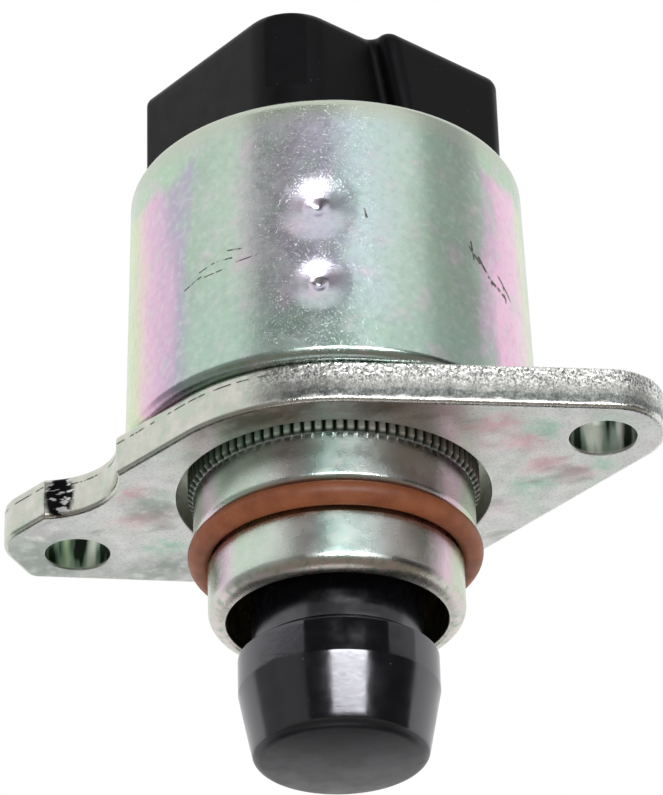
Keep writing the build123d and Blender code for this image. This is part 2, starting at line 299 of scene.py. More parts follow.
def placed(name, data):
    """A new object in the scene."""
    thing = bpy.data.objects.new(name, data)
    bpy.context.scene.collection.objects.link(thing)
    return thing


# Meshes
class Solid:
    """Vertices and faces of one piece, in millimetres."""

    def __init__(self):
        self.vertices = []
        self.faces = []
        self.materials = []

    def add(self, points):
        """Adds a ring of points and returns their numbers."""
        start = len(self.vertices)
        self.vertices.extend(np.asarray(points, float).tolist())
        return list(range(start, len(self.vertices)))

    def face(self, corners, material=0):
        self.faces.append(tuple(corners))
        self.materials.append(material)

    def band(self, lower, upper, material=0):
        """Quads between two closed rings of equal length."""
        for i in range(len(lower)):
            j = (i + 1) % len(lower)
            self.face((lower[i], lower[j], upper[j], upper[i]), material)

    def skin(self, rings, material=0):
        """Bands from each ring to the next."""
        for lower, upper in zip(rings, rings[1:]):
            self.band(lower, upper, material)

    def cover(self, rings, up):
        """A flat face between closed rings, the first of which is the outer one."""
        numbers, loops = [], []
        for ring in rings:
            loops.append(list(range(len(numbers), len(numbers) + len(ring))))
            numbers += ring
        flat = [Vector(self.vertices[number][:2]) for number in numbers]
        filled = delaunay_2d_cdt(flat, [], loops, FILL_INSIDE, FILL_TOLERANCE)
        _, _, triangles, sources, _, owners = filled
        for triangle, owner in zip(triangles, owners):
            if list(owner) == [0]:
                corners = [numbers[sources[corner][0]] for corner in triangle]
                self.face(corners if up else reversed(corners))

    def lathe(self, profile, angles, shape=None, materials=None):
        """A closed profile of (radius, height), counterclockwise, turned round Z."""
        rings = []
        for radius, height in profile:
            radii = np.full(len(angles), radius)
            if shape:
                radii = shape(radii, angles, height)
            flat = np.stack((radii * np.cos(angles), radii * np.sin(angles)), axis=1)
            rings.append(self.add(at_height(flat, height)))
        for i, ring in enumerate(rings):
            self.band(ring, rings[(i + 1) % len(rings)], materials[i] if materials else 0)
        return self

    def piece(self, name, body, node, slot, *extra):
        """The object, with the slot's finish and any extra ones, in place of a node of the frame."""
        mesh = bpy.data.meshes.new(name)
        mesh.from_pydata((np.array(self.vertices) * MM).tolist(), [], self.faces)
        for material in (finishes[slot], *extra):
            mesh.materials.append(material)
        mesh.polygons.foreach_set("material_index", self.materials)
        build = bmesh.new()
        build.from_mesh(mesh)
        bmesh.ops.remove_doubles(build, verts=build.verts, dist=1e-8)
        bmesh.ops.dissolve_degenerate(build, edges=build.edges, dist=1e-9)
        wires = [edge for edge in build.edges if edge.is_wire]
        bmesh.ops.delete(build, geom=wires, context="EDGES")
        build.to_mesh(mesh)
        build.free()
        mesh.polygons.foreach_set("use_smooth", [True] * len(mesh.polygons))
        mesh.set_sharp_from_angle(angle=math.radians(32))
        piece = placed(name, mesh)
        piece.modifiers.new("Weighted", "WEIGHTED_NORMAL").keep_sharp = True
        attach(piece, body)
        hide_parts(node)
        return piece


# Colours of the flange's stains and of its painted reflection, of the plastics and of the stage
PINK = (0.8, 0.52, 0.56)
GREEN = (0.46, 0.7, 0.56)
PAINTED_REFLECTION_BROWN = (0.3, 0.28, 0.25)
DULL = (0.36, 0.41, 0.37)
CAP_BLACK = (0.0025, 0.0025, 0.003)
CAP_SPECK = (0.14, 0.14, 0.14)
PINTLE_BLACK = (0.004, 0.004, 0.0055)
PINTLE_SPECK = (0.2, 0.2, 0.2)
BLACK = (0.0, 0.0, 0.0)
PALE = (0.9, 0.9, 0.9)
WHITE = (1.0, 1.0, 1.0)
WARM = (1.0, 0.88, 0.74)

# The side that the photograph shows: its first angle round Z and its span, in degrees
SIDE_START = -160.0
SIDE_SPAN = 190.0

# Hidden and small pieces as (slot, colour, metallic, least roughness, most roughness)
PLAIN_LOOKS = (
    ("terminal_tin", (0.7, 0.69, 0.66), 1.0, 0.22, 0.34),
    ("bobbin_plastic", (0.55, 0.53, 0.47), 0.0, 0.45, 0.6),
    ("winding_copper", (0.62, 0.28, 0.12), 1.0, 0.25, 0.4),
    ("pole_steel", (0.48, 0.48, 0.47), 1.0, 0.3, 0.45),
    ("bearing_steel", (0.66, 0.66, 0.66), 1.0, 0.1, 0.2),
    ("bush_bronze", (0.55, 0.38, 0.18), 1.0, 0.35, 0.5),
    ("magnet_ferrite", (0.07, 0.07, 0.075), 0.0, 0.45, 0.6),
    ("hub_plastic", (0.1, 0.1, 0.11), 0.0, 0.4, 0.55),
    ("screw_steel", (0.55, 0.55, 0.54), 1.0, 0.25, 0.4),
    ("spring_steel", (0.42, 0.42, 0.42), 1.0, 0.25, 0.4),
)

# Share of a plastic's grain that shows in the bump
GRAIN_SHARE = 0.35

# Marks on the can as ((angle, height), (angle, height), width), in degrees round Z and millimetres
CAN_SCRATCHES = (
    ((-111.4, 12.3), (-104.8, 12.9), 0.1), ((-104.2, 12.7), (-96.5, 12.8), 0.08),
    ((-106.0, 13.3), (-100.3, 13.7), 0.08), ((-100.0, 13.7), (-94.6, 13.6), 0.1),
    ((-96.5, 14.4), (-91.2, 14.2), 0.09), ((-93.8, 13.1), (-87.3, 13.3), 0.08),
    ((-25.0, 15.8), (-20.5, 14.5), 0.14), ((-21.5, 15.2), (-15.5, 13.2), 0.2),
    ((-16.7, 13.6), (-8.5, 12.8), 0.22), ((-13.0, 14.6), (-6.0, 13.0), 0.16),
    ((-24.0, 16.4), (-23.0, 14.6), 0.12), ((-10.5, 14.2), (-9.0, 12.4), 0.14),
    ((-57.5, 16.95), (-56.7, 16.0), 0.13),
)

# Marks on the flange's mounting face as (x, y, half width, half depth, colour): pink and green stains, a
# darker grey-green over the left part, and brownish-dark painted reflection of the neck and O-ring near the
# collar; and the notch's burr, painted near-black with painted glints
FLANGE_STAINS_AND_REFLECTIONS = (
    (16.0, -5.8, 3.6, 2.2, PINK), (16.8, -2.3, 2.6, 2.8, PINK), (17.3, 1.8, 3.0, 2.2, PINK),
    (18.6, 4.4, 2.4, 1.8, PINK), (19.3, -3.2, 2.2, 2.4, GREEN), (15.2, 4.7, 3.4, 2.0, GREEN),
    (21.3, 3.8, 1.9, 1.4, GREEN), (-14.8, -3.2, 4.4, 2.0, PINK), (-15.6, 1.8, 3.0, 1.8, GREEN),
    (-14.2, -7.6, 2.4, 1.8, PINK), (0.0, -14.2, 8.5, 2.6, PAINTED_REFLECTION_BROWN), (8.6, -12.0, 4.6, 2.6, PAINTED_REFLECTION_BROWN),
    (-25.5, 0.0, 8.0, 9.0, DULL), (-17.0, 5.5, 8.0, 4.2, DULL), (-13.6, -4.4, 3.4, 4.4, DULL),
)
BURR_CENTRE = (-21.0, -6.9, 1.75)
BURR_RADII = (1.45, 1.6, 2.3)


# Node graphs
class Graph:
    """A procedural material; its texture coordinates are the object's own, in metres."""

    def __init__(self, name, **sockets):
        self.material = bpy.data.materials.new(name)
        self.material.use_nodes = True
        self.tree = self.material.node_tree
        self.shader = self.tree.nodes["Principled BSDF"]
        self.place = self.node("ShaderNodeTexCoord").outputs["Object"]
        self.feed(**sockets)

    def put(self, socket, value):
        """Links a socket to another node's output, or sets it to a number, a vector or a colour."""
        if isinstance(value, bpy.types.NodeSocket):
            self.tree.links.new(value, socket)
        else:
            socket.default_value = (*value, 1) if socket.type == "RGBA" else value

    def node(self, kind, inputs=(), **settings):
        node = self.tree.nodes.new(kind)
        for name, value in settings.items():
            setattr(node, name, value)
        for socket, value in dict(inputs).items():
            self.put(node.inputs[socket], value)
        return node

    def feed(self, **sockets):
        """Sets or links the shader's sockets, named with _ for a space."""
        for socket, value in sockets.items():
            self.put(self.shader.inputs[socket.replace("_", " ")], value)
        return self.material

    def math(self, operation, *values, clamp=False):
        node = self.node("ShaderNodeMath", enumerate(values), operation=operation, use_clamp=clamp)
        return node.outputs[0]

    def times(self, one, other):
        return self.math("MULTIPLY", one, other)

    def vector(self, operation, one, other):
        """Vector maths: a number for a length or a product of two vectors, and else a vector."""
        node = self.node("ShaderNodeVectorMath", {0: one, 1: other}, operation=operation)
        return node.outputs["Value" if operation in ("LENGTH", "DOT_PRODUCT") else "Vector"]

    def noise(self, size, detail=2.0, stretch=(1, 1, 1), rough=0.5, offset=0.0):
        """Noise whose features measure about size millimetres, longer along an axis by stretch."""
        scale = tuple(1 / (size * MM * factor) for factor in stretch)
        inputs = {"Vector": self.place, "Location": (offset, offset, offset), "Scale": scale}
        place = self.node("ShaderNodeMapping", inputs).outputs[0]
        inputs = {"Vector": place, "Scale": 1.0, "Detail": detail, "Roughness": rough}
        return self.node("ShaderNodeTexNoise", inputs).outputs["Fac"]

    def ramp(self, value, *stops):
        """Stops along a value as (position, grey) or (position, red, green, blue)."""
        ramp = self.node("ShaderNodeValToRGB", {"Fac": value})
        elements = ramp.color_ramp.elements
        while len(elements) < len(stops):
            elements.new(1.0)
        for element, (position, *colour) in zip(elements, stops):
            element.position = position
            element.color = (*colour, 1) if len(colour) == 3 else (*colour * 3, 1)
        return ramp.outputs["Color"]

    def mottle(self, size, low, high, detail=3.0, offset=0.0):
        """A grey that wanders from low to high."""
        return self.ramp(self.noise(size, detail, offset=offset), (0.3, low), (0.7, high))

    def between(self, value, low, high):
        """0 below low and 1 above high, or the reverse if low is the greater."""
        inputs = {"Value": value, "From Min": low, "From Max": high}
        return self.node("ShaderNodeMapRange", inputs, interpolation_type="SMOOTHSTEP").outputs["Result"]

    def apart(self, value, middle):
        return self.math("ABSOLUTE", self.math("SUBTRACT", value, middle))

    def mix(self, factor, one, other):
        return self.node("ShaderNodeMix", {0: factor, 6: one, 7: other}, data_type="RGBA").outputs[2]

    def blend(self, tint, mask, amount, colour):
        """The tint with a colour laid over it, by that amount where the mask is 1."""
        return self.mix(self.times(mask, amount), tint, colour)

    def axes(self):
        return self.node("ShaderNodeSeparateXYZ", {"Vector": self.place}).outputs

    def turn(self):
        """Angle round Z in degrees, from -180 to 180, and the height in millimetres."""
        x, y, z = self.axes()
        angle = self.times(self.math("ARCTAN2", y, x), 180 / math.pi)
        return angle, self.times(z, 1 / MM)

    def reach(self, centre=0.0):
        """Distance in metres from an upright axis at that place on X, in millimetres."""
        x, y, _ = self.axes()
        side = self.math("SUBTRACT", x, centre * MM)
        return self.math("SQRT", self.math("MULTIPLY_ADD", side, side, self.times(y, y)))

    def facing(self, angle, *shakes):
        """Share of the way across the photographed side, shaken by fields of so many degrees."""
        for field, degrees in shakes:
            angle = self.math("ADD", angle, self.math("MULTIPLY_ADD", field, degrees, -degrees / 2))
        return self.math("DIVIDE", self.math("SUBTRACT", angle, SIDE_START), SIDE_SPAN)

    def warp(self, size, amount):
        """Texture coordinates shaken by noise of that size, by up to amount millimetres."""
        scale = (1 / (size * MM),) * 3
        place = self.node("ShaderNodeMapping", {"Vector": self.place, "Scale": scale}).outputs[0]
        shake = self.node("ShaderNodeTexNoise", {"Vector": place, "Scale": 1.0, "Detail": 3.0})
        centred = self.vector("SUBTRACT", shake.outputs["Color"], (0.5, 0.5, 0.5))
        scaled = self.vector("MULTIPLY", centred, (amount * MM,) * 3)
        return self.vector("ADD", self.place, scaled)

    def stroke(self, angle, height, start, end, width):
        """1 on a straight mark between two places (angle, height) on the can's wall."""
        arc = math.radians(can_radius)
        run = Vector(((end[0] - start[0]) * arc, end[1] - start[1], 0))
        half = run.length / 2
        run.normalize()
        inputs = {"X": self.times(angle, arc), "Y": height}
        flat = self.node("ShaderNodeCombineXYZ", inputs).outputs[0]
        offset = self.vector("SUBTRACT", flat, (start[0] * arc, start[1], 0))
        along = self.vector("DOT_PRODUCT", offset, run)
        aside = self.vector("DOT_PRODUCT", offset, (-run.y, run.x, 0))
        line = self.between(self.math("ABSOLUTE", aside), width, width * 0.4)
        return self.times(line, self.between(self.apart(along, half), half, half - 0.1))

    def spot(self, centre, radii, soft, place=None):
        """1 inside an ellipsoid given in millimetres, fading to 0 at its surface."""
        inputs = {"Vector": place or self.place, "Location": tuple(part * MM for part in centre),
                  "Scale": tuple(radius * MM for radius in radii)}
        local = self.node("ShaderNodeMapping", inputs, vector_type="TEXTURE").outputs[0]
        return self.between(self.vector("LENGTH", local, (0, 0, 0)), 1.0, 1.0 - soft)

    def bump(self, height, strength, depth):
        """Bump with its depth in millimetres."""
        inputs = {"Height": height, "Strength": strength, "Distance": depth * MM}
        self.feed(Normal=self.node("ShaderNodeBump", inputs).outputs["Normal"])


# Plated zinc of the can: a satin passivation whose colour drifts from green to pink round the wall
def can_zinc():
    graph = Graph("can_zinc", Metallic=1.0)
    angle, height = graph.turn()
    streaks = graph.noise(2.6, detail=4.0, stretch=(1, 1, 3.5))
    drift = graph.noise(9.0, offset=11.0)
    share = graph.facing(angle, (streaks, 16.0), (drift, 10.0))
    tint = graph.ramp(
        share,
        (0.04, 0.58, 0.72, 0.42), (0.115, 0.62, 0.7, 0.42), (0.145, 0.8, 0.6, 0.62),
        (0.17, 0.78, 0.5, 0.67), (0.215, 0.64, 0.46, 0.63), (0.245, 0.45, 0.43, 0.53),
        (0.27, 0.42, 0.55, 0.45), (0.34, 0.5, 0.62, 0.52), (0.38, 0.55, 0.58, 0.57),
        (0.43, 0.56, 0.54, 0.6), (0.49, 0.58, 0.57, 0.68), (0.53, 0.54, 0.65, 0.68),
        (0.6, 0.54, 0.67, 0.61), (0.65, 0.44, 0.58, 0.47), (0.735, 0.4, 0.47, 0.42),
        (0.755, 0.58, 0.45, 0.56), (0.78, 0.84, 0.5, 0.7), (0.84, 0.86, 0.6, 0.74),
        (0.87, 0.66, 0.74, 0.48), (0.93, 0.56, 0.64, 0.55),
    )
    outer = graph.between(graph.apart(share, 0.5), 0.2, 0.27)
    upper = graph.between(graph.math("MULTIPLY_ADD", streaks, 4.0, height), 25.0, 26.8)
    tint = graph.mix(graph.times(outer, upper), tint, (0.46, 0.62, 0.47))
    lower = graph.between(graph.math("MULTIPLY_ADD", drift, 8.0, height), 15.5, 10.5)
    middle = graph.times(graph.math("SUBTRACT", 1.0, outer), lower)
    tint = graph.blend(tint, middle, 0.75, (0.42, 0.58, 0.5))
    patches = graph.noise(2.4, detail=5.0, offset=3.0)
    tint = graph.blend(tint, graph.between(patches, 0.52, 0.74), 0.5, (0.72, 0.56, 0.67))
    tint = graph.blend(tint, graph.between(patches, 0.48, 0.28), 0.35, (0.44, 0.64, 0.48))
    frost = graph.noise(0.6, detail=5.0, offset=13.0)
    tint = graph.blend(tint, graph.between(frost, 0.48, 0.75), 0.4, (0.68, 0.71, 0.68))
    tint = graph.blend(tint, graph.between(frost, 0.5, 0.28), 0.25, (0.38, 0.41, 0.38))
    tint = graph.mix(graph.between(height, 24.6, 27.0), tint, (0.52, 0.57, 0.48))
    wear = 0.0
    for start, end, width in CAN_SCRATCHES:
        wear = graph.math("MAXIMUM", wear, graph.stroke(angle, height, start, end, width))
    broken = graph.between(graph.noise(0.45, detail=3.0, offset=9.0), 0.38, 0.5)
    tint = graph.mix(graph.times(wear, broken), tint, (0.08, 0.08, 0.07))
    front = graph.between(graph.apart(share, 0.47), 0.13, 0.06)
    turn = math.radians(dimple_angle)
    for rise, *_ in DIMPLES:
        centre = (can_radius * math.cos(turn), can_radius * math.sin(turn), can_bottom + rise)
        front = graph.math("SUBTRACT", front, graph.spot(centre, (3.0, 3.0, 2.6), 0.5), clamp=True)
    flecks = graph.between(graph.noise(0.13, offset=1.0), 0.57, 0.71)
    grain = graph.noise(0.11, offset=5.0)
    graph.bump(graph.math("MULTIPLY_ADD", flecks, front, grain), 1.0, 0.008)
    return graph.feed(Base_Color=tint, Roughness=graph.mottle(2.2, 0.21, 0.3, offset=7.0))


# Plated zinc of the neck; in the knurl's pocket at its top, painted shade between the teeth and painted light
# on the teeth, lighter in the middle of the camera's side and darker towards its edges
def neck_zinc():
    graph = Graph("neck_zinc")
    angle, height = graph.turn()
    share = graph.facing(angle, (graph.noise(2.4, detail=3.0, stretch=(1, 1, 3.0)), 26.0))
    tint = graph.ramp(
        share,
        (0.03, 0.56, 0.62, 0.52), (0.12, 0.58, 0.62, 0.54), (0.17, 0.78, 0.6, 0.72),
        (0.23, 0.62, 0.76, 0.62), (0.33, 0.6, 0.68, 0.6), (0.4, 0.58, 0.55, 0.54),
        (0.47, 0.44, 0.6, 0.55), (0.56, 0.5, 0.56, 0.54), (0.66, 0.56, 0.52, 0.5),
        (0.73, 0.4, 0.38, 0.37), (0.78, 0.7, 0.5, 0.6), (0.86, 0.52, 0.62, 0.44),
        (0.95, 0.5, 0.52, 0.46),
    )
    frost = graph.noise(1.1, detail=5.0, offset=13.0)
    tint = graph.blend(tint, graph.between(frost, 0.45, 0.75), 0.5, (0.66, 0.66, 0.62))
    lip = graph.ramp(
        graph.noise(0.7, detail=5.0, offset=17.0),
        (0.35, 0.4, 0.46, 0.38), (0.5, 0.62, 0.6, 0.54), (0.65, 0.7, 0.6, 0.6),
    )
    tint = graph.mix(graph.between(height, -10.0, -10.9), tint, lip)
    # Painted light on the knurl's teeth: lighter in the middle of the camera's side, darker towards its edges
    painted_teeth_light = graph.ramp(
        share,
        (0.18, 0.08, 0.11, 0.07), (0.32, 0.26, 0.36, 0.25), (0.45, 0.5, 0.57, 0.48),
        (0.58, 0.52, 0.5, 0.42), (0.68, 0.2, 0.17, 0.13),
    )
    # In the pocket, near-black painted shade between the teeth
    tooth = graph.between(graph.reach(), (neck_radius + 0.12) * MM, (neck_radius + knurl_height) * MM)
    pocket = graph.between(height, -0.45, -0.15)
    tint = graph.mix(pocket, tint, graph.mix(tooth, (0.02, 0.03, 0.02), painted_teeth_light))
    graph.bump(graph.noise(0.11, detail=3.0, offset=4.0), 1.0, 0.012)
    rough = graph.mottle(1.6, 0.22, 0.33, offset=6.0)
    return graph.feed(Base_Color=tint, Roughness=rough, Metallic=graph.math("SUBTRACT", 1.0, pocket))


# Pale zinc of the flange's faces, stained and smudged, with brownish-dark painted reflection near the collar;
# the screw holes' walls carry painted reflection in dark and light stripes, and the collar's bore a darker
# tint
def flange_zinc():
    graph = Graph("flange_zinc", Metallic=1.0)
    tint = graph.ramp(
        graph.noise(5.0, detail=4.0),
        (0.32, 0.7, 0.79, 0.72), (0.46, 0.79, 0.81, 0.78), (0.58, 0.82, 0.82, 0.8),
        (0.7, 0.86, 0.76, 0.79),
    )
    warped = graph.warp(1.6, 3.0)
    # Stains, and near the collar brownish-dark painted reflection of the neck and O-ring
    for x, y, width, depth, colour in FLANGE_STAINS_AND_REFLECTIONS:
        mark = graph.spot((x, y, 0), (width, depth, 1), 1.0, warped)
        tint = graph.blend(tint, mark, 0.95, colour)
    pepper = graph.noise(0.25, detail=5.0, rough=0.7, offset=1.0)
    tint = graph.blend(tint, graph.between(pepper, 0.48, 0.68), 0.55, (0.42, 0.41, 0.39))
    smudge = graph.noise(2.6, detail=5.0, stretch=(2.0, 1, 1), offset=15.0)
    tint = graph.blend(tint, graph.between(smudge, 0.56, 0.72), 0.5, (0.34, 0.32, 0.31))
    # Painted reflection on the screw holes' walls: dark and light upright stripes; the collar's bore gets a
    # darker tint
    inside = graph.between(graph.axes()[2], 0.05 * MM, 0.3 * MM)
    hole_painted_reflection = graph.ramp(
        graph.noise(1.3, stretch=(1, 1, 5), offset=21.0),
        (0.4, 0.02, 0.03, 0.02), (0.48, 0.26, 0.36, 0.28), (0.6, 0.6, 0.64, 0.55),
    )
    for centre, radius, colour in ((0.0, collar_bore, (0.45, 0.47, 0.4)),
                                   (-bolt_offset, bolt_hole_radius, hole_painted_reflection),
                                   (bolt_offset, bolt_hole_radius, hole_painted_reflection)):
        wall = graph.between(graph.reach(centre), (radius + 0.1) * MM, radius * MM)
        tint = graph.mix(graph.times(wall, inside), tint, colour)
    graph.bump(graph.noise(0.17, detail=3.0, offset=3.0), 0.7, 0.016)
    return graph.feed(Base_Color=tint, Roughness=graph.mottle(1.5, 0.3, 0.4, offset=5.0))


# The punched wall of the flange: smooth on the left, torn towards the right; there its colour is painted
# light: a painted highlight on the lower edge's round, painted shade in a dark band above it, and painted
# glints up to the torn top
def sheared_zinc():
    graph = Graph("flange_sheared_zinc", Metallic=1.0)
    x, _, z = graph.axes()
    height = graph.times(z, 1 / MM)
    shake = graph.math("MULTIPLY_ADD", graph.noise(1.6, detail=4.0), 0.9, -0.45)
    wander = graph.math("ADD", height, shake)
    # Painted light up the wall: a painted highlight on the lower edge's round, painted shade in a dark band
    # above it, greys above
    painted_wall_bands = graph.ramp(
        graph.math("DIVIDE", wander, flange_thickness),
        (0.1, 0.78, 0.79, 0.75), (0.15, 0.12, 0.14, 0.135), (0.29, 0.12, 0.14, 0.135),
        (0.35, 0.36, 0.37, 0.35), (0.5, 0.44, 0.44, 0.42), (0.62, 0.66, 0.66, 0.64),
    )
    # Painted glints on the torn wall
    painted_glints = graph.ramp(
        graph.noise(0.17, detail=3.0, stretch=(1, 1, 1.3), offset=2.0),
        (0.38, 0.24, 0.24, 0.23), (0.5, 0.62, 0.62, 0.6), (0.6, 0.92, 0.92, 0.9),
    )
    torn_painted_light = graph.mix(graph.between(wander, 1.4, 2.2), graph.mix(0.25, painted_wall_bands, painted_glints), painted_glints)
    smooth = graph.between(x, 4.0 * MM, -2.0 * MM)
    smooth_tint = graph.ramp(
        graph.noise(1.2, detail=5.0, offset=6.0),
        (0.32, 0.52, 0.6, 0.5), (0.5, 0.6, 0.61, 0.54), (0.68, 0.68, 0.66, 0.6),
    )
    dashes = graph.between(graph.noise(0.8, detail=3.0, offset=12.0), 0.44, 0.52)
    line = graph.times(graph.between(graph.apart(height, 2.75), 0.09, 0.04), dashes)
    tint = graph.mix(smooth, torn_painted_light, graph.mix(line, smooth_tint, (0.1, 0.1, 0.09)))
    # The notch's burr: painted near-black shade with painted glints
    burr_painted_glints = graph.ramp(
        graph.noise(0.7, detail=4.0, stretch=(1.6, 1.6, 0.6), offset=4.0),
        (0.55, 0.012, 0.012, 0.014), (0.62, 0.85, 0.85, 0.84),
    )
    burr = graph.spot(BURR_CENTRE, BURR_RADII, 0.3, graph.warp(0.7, 0.5))
    tint = graph.mix(burr, tint, burr_painted_glints)
    relief = graph.noise(0.16, detail=4.0, stretch=(1, 1, 1.6), offset=2.0)
    graph.bump(graph.times(relief, graph.between(smooth, 1.25, 0.0)), 0.9, 0.032)
    return graph.feed(Base_Color=tint, Roughness=graph.mottle(0.8, 0.2, 0.34, offset=5.0))


def rubber():
    graph = Graph("o_ring_rubber", Specular_IOR_Level=0.35)
    smears = graph.noise(1.8, detail=4.0)
    tint = graph.ramp(smears, (0.35, 0.26, 0.07, 0.024), (0.65, 0.35, 0.104, 0.038))
    dust = graph.noise(0.16, detail=4.0, offset=4.0)
    tint = graph.blend(tint, graph.between(dust, 0.58, 0.78), 0.4, (0.5, 0.24, 0.13))
    graph.bump(graph.noise(0.22, detail=3.0, offset=2.0), 0.35, 0.015)
    return graph.feed(Base_Color=tint, Roughness=graph.mottle(1.0, 0.4, 0.52, detail=2.0, offset=8.0))


def plastic(name, base, speck, specular, gloss, grain_size, grain_depth, draft=None):
    """Moulded black plastic; a draft is (low, high, depth) of a wall whose shading leans."""
    graph = Graph(name, Specular_IOR_Level=specular, Specular_Tint=(0.92, 0.92, 1.0), IOR=1.56)
    drift = graph.between(graph.noise(5.0, detail=3.0), 0.35, 0.7)
    tint = graph.mix(drift, base, tuple(part * 1.5 for part in base))
    dust = graph.noise(0.24, offset=4.0)
    tint = graph.mix(graph.between(dust, 0.74, 0.8), tint, speck)
    grain = graph.noise(grain_size, detail=3.0, offset=2.0)
    if draft:
        low, high, depth = draft
        inputs = {"Value": graph.axes()[2], "From Min": low * MM, "From Max": high * MM,
                  "To Max": depth / grain_depth}
        slope = graph.node("ShaderNodeMapRange", inputs).outputs["Result"]
        grain = graph.math("MULTIPLY_ADD", grain, GRAIN_SHARE, slope)
    graph.bump(grain, 1.0 if draft else GRAIN_SHARE, grain_depth)
    return graph.feed(Base_Color=tint, Roughness=graph.mottle(1.5, gloss - 0.04, gloss + 0.06, offset=8.0))


def plain(name, colour, metallic, low, high):
    """One colour, slightly mottled, with its least and most roughness."""
    graph = Graph(name, Metallic=metallic)
    dark = tuple(part * 0.88 for part in colour)
    light = tuple(part * 1.1 for part in colour)
    tint = graph.ramp(graph.noise(1.2, detail=3.0), (0.3, *dark), (0.7, *light))
    rough = graph.mottle(1.2, low, high, detail=2.0, offset=3.0)
    return graph.feed(Base_Color=tint, Roughness=rough)


# Finishes by slot, and the further ones on parts of the flange and the pintle
finishes = {
    "flange_zinc": flange_zinc(),
    "can_zinc": can_zinc(),
    "neck_zinc": neck_zinc(),
    "o_ring_rubber": rubber(),
    "cap_plastic": plastic("cap_plastic", CAP_BLACK, CAP_SPECK, 0.1, 0.36, 0.3, 0.012),
    "pintle_plastic": plastic("pintle_plastic", PINTLE_BLACK, PINTLE_SPECK, 1.0, 0.18, 0.35, 0.008),
}
for look in PLAIN_LOOKS:
    finishes[look[0]] = plain(*look)
sheared = sheared_zinc()
band_plastic = plastic("pintle_band_plastic", PINTLE_BLACK, PINTLE_SPECK, 1.0, 0.1, 0.35, 0.008,
                       (band_bottom, band_top, band_lean))
dome_plastic = plastic("pintle_dome_plastic", PINTLE_BLACK, PINTLE_SPECK, 0.55, 0.36, 0.35, 0.008)
for part in frame["record"]["subparts"]:
    node = frame["nodes"][part["node"]]
    node.data.materials.clear()
    node.data.materials.append(finishes[part["material_slot"]])


# Flange: the rounded outline carries the edge rounds and the torn wall
def flange_outline():
    main = (0.0, 0.0, flange_radius)
    ear = (bolt_offset, 0.0, ear_radius)
    end_x = -bolt_offset - key_ear_reach
    key_corner = (end_x + key_corner_radius, key_corner_rise, key_corner_radius)
    key_end = (end_x + key_end_radius, -key_end_drop, key_end_radius)
    far_right, far_left = tangent_line(ear, main), tangent_line(main, key_corner)
    left, near_left = tangent_line(key_corner, key_end), tangent_line(key_end, main)
    near_right = tangent_line(main, ear)
    out, reach = near_left
    notch_centre = np.array((-notch_offset, -notch_drop))
    stand_off = out @ notch_centre - reach
    middle = notch_centre - out * stand_off
    half = np.array((-out[1], out[0])) * math.sqrt(notch_radius ** 2 - stand_off ** 2)
    corners = [
        (crossing(near_right, far_right), ear_radius),
        (crossing(far_right, far_left), flange_radius),
        (crossing(far_left, left), key_corner_radius),
        (crossing(left, near_left), key_end_radius),
        (middle - half, notch_corner_radius),
        (notch_centre - out * notch_radius ** 2 / stand_off, notch_radius - notch_ease),
        (middle + half, notch_corner_radius),
        (crossing(near_left, near_right), flange_radius),
    ]
    return rounded_path(*zip(*corners), step=0.12)


def torn(point, height):
    """How far the punched wall is torn back at a point."""
    rise = np.clip((height - shear_start) / shear_ramp, 0.12, 1)
    across = np.clip((point[0] - shear_left) / shear_spread, 0.1, 1)
    rough = noise.fractal(Vector((point[0] * 4.5, point[1] * 4.5, height * 3.5)), 0.8, 2.0, 3)
    return shear_depth * (rise * across) * (0.5 + rough)


def make_flange():
    solid = Solid()
    outline, normals = flange_outline()
    levels = [(flange_edge_radius + flat_margin, 0.0)] + quarter(flange_edge_radius, count=7)
    upper = [(inset, flange_thickness - height) for inset, height in reversed(levels)]
    heights = np.linspace(flange_edge_radius, flange_thickness - flange_edge_radius, num=26)
    rings = []
    for inset, height in levels + [(0.0, height) for height in heights[1:-1]] + upper:
        depths = np.array([torn(point, height) if inset == 0 else inset for point in outline])
        rings.append(solid.add(at_height(outline - normals * depths[:, None], height)))
    solid.skin(rings[:2])
    solid.skin(rings[1:-1], material=1)
    solid.skin(rings[-2:])
    below, above = [rings[0]], [rings[-1]]
    edge = [(hole_edge_radius + flat_margin, 0.0)] + quarter(hole_edge_radius, count=4)
    edge += [(grow, flange_thickness - height) for grow, height in reversed(edge)]
    for x in (-bolt_offset, bolt_offset):
        walls = [circle(bolt_hole_radius + grow, height, count=96, centre=x) for grow, height in edge]
        hole = [solid.add(wall) for wall in walls]
        solid.skin(hole[::-1])
        below.append(hole[0])
        above.append(hole[-1])
    steps = [
        (collar_bore + hole_edge_radius + flat_margin, 0.0), (collar_bore + hole_edge_radius, 0.0),
        (collar_bore + collar_break, collar_break), (collar_bore, hole_edge_radius),
        (collar_bore, collar_pocket_depth), (neck_seat, collar_pocket_depth), (neck_seat, flange_thickness),
    ]
    collar = [solid.add(circle(radius, height, count=240)) for radius, height in steps]
    solid.skin(collar[::-1])
    solid.cover(below + [collar[0]], up=False)
    solid.cover(above + [collar[-1]], up=True)
    solid.piece("flange_plate", "valve_body", "mounting_flange", "flange_zinc", sheared)


# Can: turned from its section, with the two staking dimples pressed into the wall
def sunk(radii, turn, height, level, width, depth):
    """The wall's radii with a soft round hollow in them."""
    reach = np.hypot(turn * radii, height - level) / width
    return radii - depth / 2 * (1 + np.cos(np.pi * np.minimum(reach, 1)))


